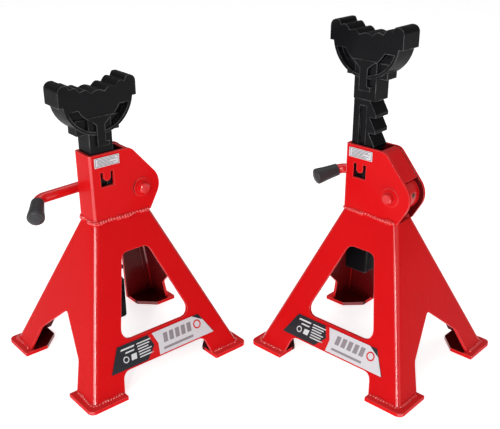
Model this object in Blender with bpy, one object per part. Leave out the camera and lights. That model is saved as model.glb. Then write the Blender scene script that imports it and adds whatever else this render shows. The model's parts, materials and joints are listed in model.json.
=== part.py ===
"""A pair of ratchet axle stands: one lowered, one raised by some teeth.

Each stand has its own frame with its origin on the floor under the middle of its feet: +Z is up, +X is
the side with the pawl, and -Y is the front. The two stands stand side by side on one floor.
"""
import math

import bmesh
import bpy
from mathutils import Matrix, Vector

MM = 0.001

# Feet
FOOT_HALF_X = 94 * MM
FOOT_HALF_Y = 86 * MM
FOOT_SIDE = 41 * MM
FOOT_SHORT = 17 * MM
FOOT_THICKNESS = 4 * MM
FOOT_CORNER = 6 * MM
FOOT_MARGIN = 6.5 * MM

# Folded base
BASE_HEIGHT = 152 * MM
BASE_WALL = 3 * MM
BASE_FOLD = 5 * MM
REAR_FLANGE = 10 * MM
WINDOW_BOTTOM = 46.8 * MM
WINDOW_DROP = 30.5 * MM
WINDOW_BOTTOM_HALF = 42.4 * MM
WINDOW_TOP_HALF = 15 * MM
WINDOW_CORNER = 8.4 * MM
ARCH_TOP = 21.5 * MM
ARCH_FLOOR_HALF = 54 * MM
ARCH_TOP_HALF = 48.1 * MM
NOTCH_FLOOR_HALF = 50.2 * MM
NOTCH_KNEE_HALF = 38.8 * MM
NOTCH_KNEE = 31.6 * MM
NOTCH_APEX = 65.1 * MM
REAR_OPENING_FLOOR_HALF = 50.1 * MM
REAR_OPENING_TOP_HALF = 15 * MM

# Housing channel and its cover
HOUSING_RISE = 68.5 * MM
HOUSING_BACK = -34.4 * MM
HOUSING_FRONT_FOOT = 29.7 * MM
HOUSING_WALL = 3 * MM
HOUSING_FOLD = 3 * MM
HOUSING_SLOPE = math.radians(49)
HOUSING_SHOULDER = 9.6 * MM
PIVOT_X = 20.1 * MM
PIVOT_RISE = 26 * MM
PIVOT_LOBE = 21 * MM
BOSS_RADIUS = 9.3 * MM
BOSS_HEIGHT = 1.6 * MM
COVER_RECESS = 0.5 * MM
COVER_START = 4.8 * MM
COVER_END = 4.8 * MM
TAB_CENTRE = -16.8 * MM
TAB_WIDTH = 7.7 * MM
TAB_DROP = 18.1 * MM
TAB_LENGTH = 9.1 * MM
TAB_SLOT = 3.3 * MM
TAB_SLOT_BELOW = 5.7 * MM

# Column
COLUMN_DEPTH = 26.4 * MM
COLUMN_WIDTH = 20.6 * MM
COLUMN_REACH = 180.5 * MM
COLUMN_ROUND = 1.5 * MM
COLUMN_CLEARANCE = 0.4 * MM
GUIDE_CLEARANCE = 0.5 * MM
TOOTH_PITCH = 15.5 * MM
TOOTH_DEPTH = 7.4 * MM
TOOTH_TIP = 3.2 * MM
TOOTH_COUNT = 8
SHELF_DROP = 1.9 * MM
SHELF_SETBACK = 1.8 * MM
GROOVE_WIDTH = 7.6 * MM
GROOVE_DEPTH = 2 * MM
GROOVE_DROP = 7.5 * MM
RAISED_TEETH = 3

# Saddle
SADDLE_RISE = 69.5 * MM
SADDLE_CENTRE = -19.1 * MM
SADDLE_HALF_LENGTH = 40.2 * MM
SADDLE_WIDTH = 25.8 * MM
SADDLE_HORN_CORNER = 6.2 * MM
SADDLE_SKIRT = 19.7 * MM
RIM_RADIUS = 36.4 * MM
RIM_THICKNESS = 2.9 * MM
RIM_DROP = 14.4 * MM
RECESS_INNER = 23.9 * MM
RECESS_DROP = 25 * MM
RECESS_DEPTH = 7 * MM
LUG_HALF_LENGTH = 22.6 * MM
LUG_WIDTH = 15.4 * MM
LUG_DROP = 49.8 * MM
RIB_WIDTH = 4 * MM
RIB_DROP = 62.2 * MM
RIB_LENGTH = 24.5 * MM
PAD_LENGTH = 8.6 * MM
PAD_HEIGHT = 4.2 * MM
# Half of the saddle's top, from its middle outwards: place and drop below the horns of each crest and dip
SADDLE_WAVES = (
    (0, 8.6 * MM), (7.2 * MM, 10.8 * MM), (12.9 * MM, 6.9 * MM), (18.4 * MM, 8.4 * MM),
    (23.9 * MM, 3.4 * MM), (28.3 * MM, 4.6 * MM), (31.4 * MM, 0),
)

# Pawl, lever and grip
PAWL_HUB = 16.7 * MM
PAWL_SIDE_CLEARANCE = 0.8 * MM
PAWL_TIP_CLEARANCE = 0.4 * MM
PAWL_NOSE_HEIGHT = 24.8 * MM
PAWL_NOSE_TOP = 5.5 * MM
PAWL_NOSE_FACE = 8 * MM
ROD_RADIUS = 5.25 * MM
ROD_CLEARANCE = 0.1 * MM
ROD_HEAD = 7.7 * MM
ROD_HEAD_CHAMFER = 1 * MM
ROD_ARM_OFFSET = 15.7 * MM
ROD_FIRST_BEND = 13 * MM
ROD_SECOND_BEND = 12 * MM
ROD_ELBOW = Vector((-88.6, 0, -3.4)) * MM
ROD_END = Vector((-105.7, -26.8, -11.6)) * MM
ROD_SIDES = 24
GRIP_LENGTH = 27 * MM
GRIP_NECK_WALL = 0.85 * MM
GRIP_END_WALL = 2.85 * MM
GRIP_DOME = 3.4 * MM
PIN_RADIUS = 2.4 * MM
PIN_TILT = math.radians(8)
PIN_PROUD = 0.5 * MM

# Labels
LABEL_THICKNESS = 0.5 * MM
LABEL_GAP = 0.1 * MM
HOUSING_LABEL_INSET = 4.7 * MM
HOUSING_LABEL_LENGTH = 26.8 * MM
HOUSING_LABEL_DROP = 2.8 * MM
HOUSING_LABEL_HEIGHT = 9.4 * MM
BASE_LABEL_TOP = 44.3 * MM
BASE_LABEL_BOTTOM = 23 * MM
BASE_LABEL_TOP_HALF = 48.3 * MM
BASE_LABEL_BOTTOM_HALF = 61.2 * MM

FIT_GAP = 0.3 * MM
BEYOND = 30 * MM

# Where the stands are: side by side, a gap apart, each turned about its middle
STAND_GAP = 4.25 * MM
LOW_YAW = math.radians(40.75)
HIGH_YAW = math.radians(-42.77)
LOW_Y = 1.32 * MM
HIGH_Y = -0.88 * MM

COLOURS = {
    "red_paint": ((0.72, 0.012, 0.016), 0.28, 0.0),
    "black_paint": ((0.012, 0.012, 0.013), 0.38, 0.0),
    "grey_grip": ((0.045, 0.045, 0.048), 0.55, 0.0),
    "pin_steel": ((0.45, 0.45, 0.46), 0.4, 1.0),
    "silver_label": ((0.5, 0.5, 0.52), 0.45, 0.0),
    "dark_label": ((0.035, 0.038, 0.045), 0.45, 0.0),
}

BASE_TOP = BASE_HEIGHT
WINDOW_TOP = BASE_TOP - WINDOW_DROP
HOUSING_TOP = BASE_TOP + HOUSING_RISE
PIVOT_Z = BASE_TOP + PIVOT_RISE
TAB_TOP = HOUSING_TOP - TAB_DROP
COLUMN_BOTTOM = HOUSING_TOP - COLUMN_REACH
SHELF_UNDERSIDE = HOUSING_TOP - SHELF_DROP
GROOVE_TOP = HOUSING_TOP - GROOVE_DROP
SADDLE_TOP = HOUSING_TOP + SADDLE_RISE
GRIP_BORE = ROD_RADIUS + FIT_GAP
GRIP_NECK = GRIP_BORE + GRIP_NECK_WALL
GRIP_END = GRIP_BORE + GRIP_END_WALL
FOOT_INNER_X = FOOT_HALF_X - FOOT_MARGIN
FOOT_INNER_Y = FOOT_HALF_Y - FOOT_MARGIN
BASE_BOTTOM = FOOT_THICKNESS + FIT_GAP
COLUMN_BACK = HOUSING_BACK + HOUSING_WALL + GUIDE_CLEARANCE
TOOTH_X = COLUMN_BACK + COLUMN_DEPTH
HOUSING_INNER_Y = COLUMN_WIDTH / 2 + COLUMN_CLEARANCE + FIT_GAP
HOUSING_HALF_Y = HOUSING_INNER_Y + HOUSING_WALL
HOUSING_BOTTOM = BASE_TOP + FIT_GAP
ROD_ARM_Y = HOUSING_HALF_Y + ROD_ARM_OFFSET
BASE_TOP_HALF_Y = HOUSING_INNER_Y + BASE_WALL
BASE_TOP_BACK = COLUMN_BACK - GUIDE_CLEARANCE - BASE_WALL
BASE_TOP_RECT = (BASE_TOP_BACK, HOUSING_FRONT_FOOT, -BASE_TOP_HALF_Y, BASE_TOP_HALF_Y)
BASE_FLOOR_RECT = (-FOOT_INNER_X, FOOT_INNER_X, -FOOT_INNER_Y, FOOT_INNER_Y)
PIVOT = Vector((PIVOT_X, 0, PIVOT_Z))


# ---------------------------------------------------------------- outlines

def arc(centre, radius, start, end, steps):
    """Points along an arc, with both of its ends; angles in radians."""
    angles = [start + (end - start) * i / steps for i in range(steps + 1)]
    return [(centre[0] + radius * math.cos(a), centre[1] + radius * math.sin(a)) for a in angles]


def rounded(corners, steps=4):
    """Outline through (x, y, radius) corners, each one turned by an arc of its radius."""
    outline = []
    for index, (x, y, radius) in enumerate(corners):
        corner = Vector((x, y))
        if radius == 0:
            outline.append((x, y))
            continue
        before = (Vector(corners[index - 1][:2]) - corner).normalized()
        after = (Vector(corners[(index + 1) % len(corners)][:2]) - corner).normalized()
        half_angle = before.angle(after) / 2
        reach = radius / math.tan(half_angle)
        centre = corner + (before + after).normalized() * radius / math.sin(half_angle)
        first = (corner + before * reach - centre).normalized()
        last = (corner + after * reach - centre).normalized()
        for i in range(steps + 1):
            outline.append(tuple(centre + first.slerp(last, i / steps) * radius))
    return outline


def tangent_angle(point, centre, radius):
    """Angle, seen from the circle's centre, of the touching point of a line from a point on its right."""
    offset = Vector(point) - Vector(centre)
    return math.atan2(offset.y, offset.x) + math.acos(radius / offset.length)


# ---------------------------------------------------------------- solids

def mesh_from(bm):
    """Turn a bmesh into a mesh whose faces point out."""
    bmesh.ops.recalc_face_normals(bm, faces=bm.faces)
    mesh = bpy.data.meshes.new("piece")
    bm.to_mesh(mesh)
    bm.free()
    return mesh


def prism(outline, low, high, along="Y"):
    """Solid swept from low to high along one axis; the outline is in the other two, in X, Y, Z order."""
    order = {"X": (2, 0, 1), "Y": (0, 2, 1), "Z": (0, 1, 2)}[along]
    bm = bmesh.new()
    rings = []
    for level in (low, high):
        points = [(a, b, level) for a, b in outline]
        rings.append([bm.verts.new([point[i] for i in order]) for point in points])
    bm.faces.new(rings[0])
    bm.faces.new(rings[1])
    for i in range(len(outline)):
        j = (i + 1) % len(outline)
        bm.faces.new((rings[0][i], rings[0][j], rings[1][j], rings[1][i]))
    return mesh_from(bm)


def block(x_low, x_high, y_low, y_high, z_low, z_high):
    """Rectangular solid between two corners."""
    outline = [(x_low, z_low), (x_high, z_low), (x_high, z_high), (x_low, z_high)]
    return prism(outline, y_low, y_high)


def frustum(low_rect, low_z, high_rect, high_z, fold):
    """Four-sided tapered solid whose slanted edges are rounded."""
    bm = bmesh.new()
    rings = []
    for (x0, x1, y0, y1), z in ((low_rect, low_z), (high_rect, high_z)):
        rings.append([bm.verts.new(p) for p in ((x0, y0, z), (x1, y0, z), (x1, y1, z), (x0, y1, z))])
    bm.faces.new(rings[0])
    bm.faces.new(rings[1])
    for i in range(4):
        bm.faces.new((rings[0][i], rings[0][i - 3], rings[1][i - 3], rings[1][i]))
    slanted = [bm.edges.get((low, high)) for low, high in zip(*rings)]
    bmesh.ops.bevel(bm, geom=slanted, offset=fold, segments=4, profile=0.5, affect="EDGES")
    return mesh_from(bm)


def lathe(profile, sides=24):
    """Solid turned about Z from (radius, height) points that start and end on the axis."""
    bm = bmesh.new()
    rings = []
    for radius, height in profile:
        if radius == 0:
            rings.append([bm.verts.new((0, 0, height))])
            continue
        angles = [2 * math.pi * i / sides for i in range(sides)]
        rings.append([bm.verts.new((radius * math.cos(a), radius * math.sin(a), height)) for a in angles])
    for lower, upper in zip(rings, rings[1:]):
        for i in range(sides):
            j = (i + 1) % sides
            face = [lower[i % len(lower)], lower[j % len(lower)], upper[j % len(upper)], upper[i % len(upper)]]
            bm.faces.new(list(dict.fromkeys(face)))
    return mesh_from(bm)


def rod(radius, length, sides=24):
    """Plain round bar about Z, centred on the origin."""
    circle = arc((0, 0), radius, 0, 2 * math.pi, sides)[:-1]
    return prism(circle, -length / 2, length / 2, along="Z")


def sweep(path, radii, sides):
    """Round bar along a path, with the radius given at each of its points."""
    bm = bmesh.new()
    side = Vector((1, 0, 0))
    rings = []
    for index, point in enumerate(path):
        ahead = path[min(index + 1, len(path) - 1)] - point
        behind = point - path[max(index - 1, 0)]
        along = (ahead.normalized() + behind.normalized()).normalized()
        side = (side - along * side.dot(along)).normalized()
        other = along.cross(side)
        angles = [2 * math.pi * (i + 0.5) / sides for i in range(sides)]
        ring = [point + (side * math.cos(a) + other * math.sin(a)) * radii[index] for a in angles]
        rings.append([bm.verts.new(p) for p in ring])
    bm.faces.new(rings[0])
    bm.faces.new(rings[-1])
    for lower, upper in zip(rings, rings[1:]):
        for i in range(sides):
            j = (i + 1) % sides
            bm.faces.new((lower[i], lower[j], upper[j], upper[i]))
    return mesh_from(bm)


def with_round_back(mesh, back, radius):
    """The mesh with its upright edges on its back face rounded."""
    bm = bmesh.new()
    bm.from_mesh(mesh)
    edges = [e for e in bm.edges if all(abs(v.co.x - back) < radius / 10 for v in e.verts)]
    upright = [e for e in edges if abs(e.verts[0].co.z - e.verts[1].co.z) > radius]
    bmesh.ops.bevel(bm, geom=upright, offset=radius, segments=4, profile=0.5, affect="EDGES")
    return mesh_from(bm)


def moved(mesh, matrix):
    """The same mesh in another place."""
    mesh.transform(matrix)
    return mesh


def combine(base, others, operation):
    """Mesh of the base with other meshes cut out of it, joined to it or kept in common."""
    work = bpy.data.objects.new("work", base)
    bpy.context.collection.objects.link(work)
    helpers = []
    for mesh in others:
        helper = bpy.data.objects.new("helper", mesh)
        bpy.context.collection.objects.link(helper)
        helpers.append(helper)
        step = work.modifiers.new(operation, "BOOLEAN")
        step.operation = operation
        step.object = helper
    graph = bpy.context.evaluated_depsgraph_get()
    result = bpy.data.meshes.new_from_object(work.evaluated_get(graph))
    for item in [work] + helpers:
        bpy.data.objects.remove(item)
    return result


# ---------------------------------------------------------------- base

def base_rect(z, inset=0):
    """Outline (x0, x1, y0, y1) of the tapered base at a height, moved in by a wall's true thickness."""
    share = (z - BASE_BOTTOM) / (BASE_TOP - BASE_BOTTOM)
    rect = []
    for sign, low, high in zip((1, -1, 1, -1), BASE_FLOOR_RECT, BASE_TOP_RECT):
        slant = math.hypot(high - low, BASE_TOP - BASE_BOTTOM) / (BASE_TOP - BASE_BOTTOM)
        rect.append(low + (high - low) * share + sign * inset * slant)
    return tuple(rect)


def base_walls():
    """All four walls with their openings, in one piece."""
    low = BASE_BOTTOM - BEYOND
    high = BASE_TOP + BASE_WALL
    outer = frustum(base_rect(BASE_BOTTOM), BASE_BOTTOM, base_rect(BASE_TOP), BASE_TOP, BASE_FOLD)
    inner_fold = BASE_FOLD - BASE_WALL
    inner = frustum(base_rect(low, BASE_WALL), low, base_rect(high, BASE_WALL), high, inner_fold)
    window = rounded([
        (-WINDOW_BOTTOM_HALF, WINDOW_BOTTOM, WINDOW_CORNER), (WINDOW_BOTTOM_HALF, WINDOW_BOTTOM, WINDOW_CORNER),
        (WINDOW_TOP_HALF, WINDOW_TOP, WINDOW_CORNER), (-WINDOW_TOP_HALF, WINDOW_TOP, WINDOW_CORNER),
    ])
    arch = rounded([
        (-ARCH_FLOOR_HALF, BASE_BOTTOM - FOOT_THICKNESS, 0), (ARCH_FLOOR_HALF, BASE_BOTTOM - FOOT_THICKNESS, 0),
        (ARCH_TOP_HALF, ARCH_TOP, WINDOW_CORNER), (-ARCH_TOP_HALF, ARCH_TOP, WINDOW_CORNER),
    ])
    notch = rounded([
        (-NOTCH_FLOOR_HALF, BASE_BOTTOM - FOOT_THICKNESS, 0), (NOTCH_FLOOR_HALF, BASE_BOTTOM - FOOT_THICKNESS, 0),
        (NOTCH_KNEE_HALF, NOTCH_KNEE, WINDOW_CORNER), (0, NOTCH_APEX, WINDOW_CORNER / 2),
        (-NOTCH_KNEE_HALF, NOTCH_KNEE, WINDOW_CORNER),
    ])
    rear = rounded([
        (-REAR_OPENING_FLOOR_HALF, BASE_BOTTOM - FOOT_THICKNESS, 0),
        (REAR_OPENING_FLOOR_HALF, BASE_BOTTOM - FOOT_THICKNESS, 0),
        (REAR_OPENING_TOP_HALF, WINDOW_TOP, WINDOW_CORNER), (-REAR_OPENING_TOP_HALF, WINDOW_TOP, WINDOW_CORNER),
    ])
    cutters = [
        inner,
        prism(window, -FOOT_HALF_Y, 0), prism(arch, -FOOT_HALF_Y, 0), prism(rear, 0, FOOT_HALF_Y),
        prism(notch, -FOOT_HALF_X, FOOT_HALF_X, along="X"),
    ]
    return combine(outer, cutters, "DIFFERENCE")


def rear_region(gap):
    """Solid that holds the rear wall between its two welded seams, grown by a gap."""
    low = BASE_BOTTOM - BEYOND
    high = BASE_TOP + BEYOND
    low_rect = base_rect(low)
    high_rect = base_rect(high)
    inset = REAR_FLANGE - gap
    outline = [
        (low_rect[0] + inset, low), (low_rect[1] - inset, low),
        (high_rect[1] - inset, high), (high_rect[0] + inset, high),
    ]
    return prism(outline, COLUMN_WIDTH / 4, FOOT_HALF_Y + BEYOND)


def make_base_shell():
    """Front and both side walls, folded from one sheet, with a flange round each rear corner."""
    return combine(base_walls(), [rear_region(FIT_GAP)], "DIFFERENCE")


def make_rear_panel():
    """Rear wall, welded between the shell's flanges."""
    return combine(base_walls(), [rear_region(0)], "INTERSECT")


def make_foot(side_x, side_y):
    """Corner plate with its inner corner cut off; side_x and side_y choose the corner."""
    x = FOOT_HALF_X
    y = FOOT_HALF_Y
    corners = [
        (x - FOOT_SIDE, y, 0), (x, y, FOOT_CORNER), (x, y - FOOT_SIDE, 0),
        (x - FOOT_SIDE + FOOT_SHORT, y - FOOT_SIDE, 0), (x - FOOT_SIDE, y - FOOT_SIDE + FOOT_SHORT, 0),
    ]
    outline = [(a * side_x, b * side_y) for a, b in rounded(corners)]
    return prism(outline, 0, FOOT_THICKNESS, along="Z")


# ---------------------------------------------------------------- housing

def slope_point(distance):
    """Point on the housing's sloping edge, a distance up it from the lobe round the pivot."""
    normal = Vector((math.sin(HOUSING_SLOPE), math.cos(HOUSING_SLOPE)))
    uphill = Vector((-math.cos(HOUSING_SLOPE), math.sin(HOUSING_SLOPE)))
    return Vector((PIVOT_X, PIVOT_Z)) + normal * PIVOT_LOBE + uphill * distance


def shoulder_corner(recess=0):
    """Where the housing's top and its sloping edge would meet, both moved in by a recess."""
    start = slope_point(0)
    normal = Vector((math.sin(HOUSING_SLOPE), math.cos(HOUSING_SLOPE)))
    start -= normal * recess
    rise = HOUSING_TOP - recess - start.y
    return (start.x - rise / math.tan(HOUSING_SLOPE), HOUSING_TOP - recess)


def housing_outline():
    """Side plate's outline: back edge, top, shoulder, slope, lobe round the pivot, lower edge."""
    centre = (PIVOT_X, PIVOT_Z)
    low_corner = (HOUSING_FRONT_FOOT, HOUSING_BOTTOM)
    end = tangent_angle(low_corner, centre, PIVOT_LOBE)
    lobe = arc(centre, PIVOT_LOBE, math.pi / 2 - HOUSING_SLOPE, end, 12)
    shoulder = shoulder_corner()
    corners = [(HOUSING_BACK, HOUSING_BOTTOM, 0), (HOUSING_BACK, HOUSING_TOP, 0), (*shoulder, HOUSING_SHOULDER)]
    corners += [(x, z, 0) for x, z in lobe]
    corners.append((*low_corner, 0))
    return rounded(corners, steps=6)


def tab_slot():
    """U-shaped slot that frees the tab in the front plate."""
    half = TAB_WIDTH / 2
    left = TAB_CENTRE - half - TAB_SLOT
    right = TAB_CENTRE + half + TAB_SLOT
    bottom = TAB_TOP - TAB_LENGTH - TAB_SLOT_BELOW
    outer = [(left, TAB_TOP), (left, bottom), (right, bottom), (right, TAB_TOP), (TAB_CENTRE + half, TAB_TOP)]
    end = arc((TAB_CENTRE, TAB_TOP - TAB_LENGTH + half), half, 0, -math.pi, 8)
    return outer + end + [(TAB_CENTRE - half, TAB_TOP)]


def make_housing():
    """Channel with its web behind, two side plates, pivot bosses and the tab in the front plate."""
    body = prism(housing_outline(), -HOUSING_HALF_Y, HOUSING_HALF_Y)
    body = with_round_back(body, HOUSING_BACK, HOUSING_FOLD)
    turn = Matrix.Translation(PIVOT) @ Matrix.Rotation(math.pi / 2, 4, "X")
    boss = moved(rod(BOSS_RADIUS, 2 * (HOUSING_HALF_Y + BOSS_HEIGHT), 32), turn)
    body = combine(body, [boss], "UNION")
    far = PIVOT_X + PIVOT_LOBE + BEYOND
    inside = block(
        HOUSING_BACK + HOUSING_WALL, far, -HOUSING_INNER_Y, HOUSING_INNER_Y,
        HOUSING_BOTTOM - BEYOND, HOUSING_TOP + BEYOND)
    bore = moved(rod(ROD_RADIUS + ROD_CLEARANCE, 2 * (HOUSING_HALF_Y + BEYOND), ROD_SIDES), turn)
    slot = prism(tab_slot(), -HOUSING_HALF_Y - BEYOND, -HOUSING_INNER_Y + HOUSING_WALL / 2)
    return combine(body, [inside, bore, slot], "DIFFERENCE")


def cover_edge(recess):
    """One edge of the cover strip, a recess inside the housing's outline, from its top to its lower end."""
    normal = Vector((math.sin(HOUSING_SLOPE), math.cos(HOUSING_SLOPE)))
    end = slope_point(COVER_END) - normal * recess
    corner = shoulder_corner(recess)
    bend = HOUSING_SHOULDER - recess
    return rounded([(COVER_START, HOUSING_TOP - recess, 0), (*corner, bend), (*end, 0)], steps=6)


def make_cover():
    """Bent strip between the side plates, over the pawl."""
    outer = cover_edge(COVER_RECESS)
    inner = cover_edge(COVER_RECESS + HOUSING_WALL)
    half = HOUSING_INNER_Y - FIT_GAP
    return prism(outer + inner[::-1], -half, half)


# ---------------------------------------------------------------- column and saddle

def column_outline():
    """Toothed bar from the side: back face, bottom, and the teeth up its front."""
    chamfer = TOOTH_TIP / 2
    root = TOOTH_X - TOOTH_DEPTH
    outline = [
        (COLUMN_BACK, SADDLE_TOP - RIM_DROP), (COLUMN_BACK, COLUMN_BOTTOM + chamfer),
        (COLUMN_BACK + chamfer, COLUMN_BOTTOM), (TOOTH_X - chamfer, COLUMN_BOTTOM),
        (TOOTH_X, COLUMN_BOTTOM + chamfer),
    ]
    for tooth in range(TOOTH_COUNT + 1, 0, -1):
        underside = SHELF_UNDERSIDE - TOOTH_PITCH * tooth
        if tooth <= TOOTH_COUNT:
            outline.append((TOOTH_X, underside))
        outline.append((TOOTH_X, underside + TOOTH_TIP))
        outline.append((root, underside + TOOTH_PITCH))
    outline.append((TOOTH_X - SHELF_SETBACK, SHELF_UNDERSIDE))
    outline.append((TOOTH_X - SHELF_SETBACK, SADDLE_TOP - RIM_DROP))
    return outline


def make_bar():
    """Toothed bar with a groove down each side and a wider block above its ledge."""
    half = COLUMN_WIDTH / 2
    bar = with_round_back(prism(column_outline(), -half, half), COLUMN_BACK, COLUMN_ROUND)
    middle = SADDLE_CENTRE
    inset = FIT_GAP / 2
    grooves = []
    for side in (-1, 1):
        near, far = sorted((side * (half - GROOVE_DEPTH), side * (half + BEYOND)))
        low = SHELF_UNDERSIDE - TOOTH_PITCH * (TOOTH_COUNT + 1)
        grooves.append(block(middle - GROOVE_WIDTH / 2, middle + GROOVE_WIDTH / 2, near, far, low, GROOVE_TOP))
    bar = combine(bar, grooves, "DIFFERENCE")
    wide = half + COLUMN_CLEARANCE
    ledge = block(
        COLUMN_BACK + inset, TOOTH_X - SHELF_SETBACK - inset, -wide, wide,
        SHELF_UNDERSIDE + FIT_GAP, SADDLE_TOP - RIM_DROP - RIM_RADIUS / 2)
    return combine(bar, [ledge], "UNION")


def saddle_top():
    """Right half of the wavy top, from the middle outwards: round crests and narrow dips."""
    points = []
    for (x0, drop0), (x1, drop1) in zip(SADDLE_WAVES, SADDLE_WAVES[1:]):
        for i in range(4):
            share = i / 4
            if drop1 > drop0:
                level = 1 - math.cos(share * math.pi / 2)
            else:
                level = math.sin(share * math.pi / 2)
            points.append((x0 + (x1 - x0) * share, SADDLE_TOP - drop0 - (drop1 - drop0) * level))
    return points


def saddle_outline():
    """Whole saddle from the side, about its own middle."""
    corner = (SADDLE_HALF_LENGTH - SADDLE_HORN_CORNER, SADDLE_TOP - SADDLE_HORN_CORNER)
    half = saddle_top()
    half += [(SADDLE_WAVES[-1][0], SADDLE_TOP)]
    half += arc(corner, SADDLE_HORN_CORNER, math.pi / 2, 0, 5)
    half.append((SADDLE_HALF_LENGTH, SADDLE_TOP - SADDLE_SKIRT))
    start = -math.asin((SADDLE_SKIRT - RIM_DROP) / RIM_RADIUS)
    half += arc((0, SADDLE_TOP - RIM_DROP), RIM_RADIUS, start, -math.pi / 2, 12)
    mirrored = [(-x, z) for x, z in half[1:-1]]
    return half + mirrored[::-1]


def recess_outline():
    """Curved pocket between the saddle's rim and its middle."""
    centre = (0, SADDLE_TOP - RIM_DROP)
    drop = RECESS_DROP - RIM_DROP
    outer = RIM_RADIUS - RIM_THICKNESS
    first = -math.asin(drop / outer)
    second = -math.asin(drop / RECESS_INNER)
    points = arc(centre, outer, first, -math.pi - first, 18)
    return points + arc(centre, RECESS_INNER, -math.pi - second, second, 14)


def make_saddle():
    """Saddle with its pockets, lugs and ribs, about the column's middle."""
    half = SADDLE_WIDTH / 2
    saddle = prism(saddle_outline(), -half, half)
    pocket = recess_outline()
    pockets = [
        prism(pocket, -half - BEYOND, -half + RECESS_DEPTH), prism(pocket, half - RECESS_DEPTH, half + BEYOND),
    ]
    saddle = combine(saddle, pockets, "DIFFERENCE")
    centre_z = SADDLE_TOP - RIM_DROP
    lug_half = LUG_WIDTH / 2
    lugs = block(
        -LUG_HALF_LENGTH, LUG_HALF_LENGTH, -lug_half, lug_half,
        SADDLE_TOP - LUG_DROP, centre_z - RECESS_INNER + RIM_THICKNESS)
    inset = FIT_GAP / 2
    rib_low = SADDLE_TOP - RIB_DROP
    rib = block(
        -RIB_WIDTH / 2, RIB_WIDTH / 2, -half + inset, half - inset, rib_low, rib_low + RIB_LENGTH)
    pad = block(0, PAD_LENGTH, -half + 2 * inset, half - 2 * inset, rib_low + inset, rib_low + PAD_HEIGHT)
    return moved(combine(saddle, [lugs, rib, pad], "UNION"), Matrix.Translation((SADDLE_CENTRE, 0, 0)))


def make_column():
    """Toothed bar and saddle in one casting."""
    return combine(make_bar(), [make_saddle()], "UNION")


# ---------------------------------------------------------------- pawl, lever, grip

def pin_matrix():
    """Place and direction of the cross pin, about the pivot."""
    return Matrix.Rotation(math.pi / 2 - PIN_TILT, 4, "Y")


def make_pawl():
    """Hub on the pivot with a nose that points at the teeth, about the pivot."""
    tip = Vector((TOOTH_X + PAWL_TIP_CLEARANCE - PIVOT_X, PAWL_NOSE_HEIGHT))
    flank = Vector((TOOTH_DEPTH, TOOTH_TIP - TOOTH_PITCH)).normalized()
    heel = tip + flank * PAWL_NOSE_FACE
    back = tip + Vector((PAWL_NOSE_TOP, 0))
    start = math.atan2(back.y, back.x) - math.acos(PAWL_HUB / back.length)
    end = math.atan2(heel.y, heel.x) + math.acos(PAWL_HUB / heel.length)
    hub = arc((0, 0), PAWL_HUB, start, end - 2 * math.pi, 28)
    half = HOUSING_INNER_Y - PAWL_SIDE_CLEARANCE
    body = prism([tuple(tip), tuple(back)] + hub + [tuple(heel)], -half, half)
    turn = Matrix.Rotation(math.pi / 2, 4, "X")
    bore = moved(rod(ROD_RADIUS + FIT_GAP / 2, 4 * half, ROD_SIDES), turn)
    pin_hole = moved(rod(PIN_RADIUS + FIT_GAP / 2, 4 * PAWL_HUB, 16), pin_matrix())
    return combine(body, [bore, pin_hole], "DIFFERENCE")


def rod_path():
    """Rod's middle line about the pivot: through the pivot, along the stand, then round to the grip."""
    corners = [
        Vector((0, -HOUSING_HALF_Y - ROD_HEAD, 0)), Vector((0, ROD_ARM_Y, 0)),
        Vector((ROD_ELBOW.x, ROD_ARM_Y, ROD_ELBOW.z)), Vector((ROD_END.x, ROD_ARM_Y + ROD_END.y, ROD_END.z)),
    ]
    path = [corners[0]]
    for index, bend in ((1, ROD_FIRST_BEND), (2, ROD_SECOND_BEND)):
        corner = corners[index]
        before = (corners[index - 1] - corner).normalized()
        after = (corners[index + 1] - corner).normalized()
        half_angle = before.angle(after) / 2
        centre = corner + (before + after).normalized() * bend / math.sin(half_angle)
        reach = bend / math.tan(half_angle)
        first = (corner + before * reach - centre).normalized()
        last = (corner + after * reach - centre).normalized()
        path += [centre + first.slerp(last, i / 7) * bend for i in range(8)]
    path.append(corners[3])
    return path


def make_rod():
    """Pivot, arm and lever in one bent rod, with a cross hole for the pin."""
    path = rod_path()
    start = path[0]
    path.insert(1, start + Vector((0, ROD_HEAD_CHAMFER, 0)))
    path[-1] = path[-1] - (path[-1] - path[-2]).normalized() * (GRIP_DOME + FIT_GAP)
    radii = [ROD_RADIUS - ROD_HEAD_CHAMFER] + [ROD_RADIUS] * (len(path) - 1)
    bar = sweep(path, radii, ROD_SIDES)
    pin_hole = moved(rod(PIN_RADIUS + FIT_GAP / 2, 4 * PAWL_HUB, 16), pin_matrix())
    return combine(bar, [pin_hole], "DIFFERENCE")


def make_grip():
    """Flared sleeve with a domed end, closed over the rod's tip."""
    path = rod_path()
    end = path[-1]
    along = (end - path[-2]).normalized()
    body = GRIP_LENGTH - GRIP_DOME
    outside = [
        (0, 0), (GRIP_NECK, 0), (GRIP_NECK + (GRIP_END - GRIP_NECK) * 0.45, body * 0.55),
        (GRIP_END, body * 0.92), (GRIP_END, body),
        (GRIP_END * math.cos(math.radians(30)), body + GRIP_DOME * math.sin(math.radians(30))),
        (GRIP_END * math.cos(math.radians(60)), body + GRIP_DOME * math.sin(math.radians(60))),
        (0, GRIP_LENGTH),
    ]
    bore = rod(GRIP_BORE, 2 * body)
    spun = combine(lathe(outside), [bore], "DIFFERENCE")
    turn = Vector((0, 0, 1)).rotation_difference(along).to_matrix().to_4x4()
    return moved(spun, Matrix.Translation(end - along * GRIP_LENGTH) @ turn)


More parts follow.
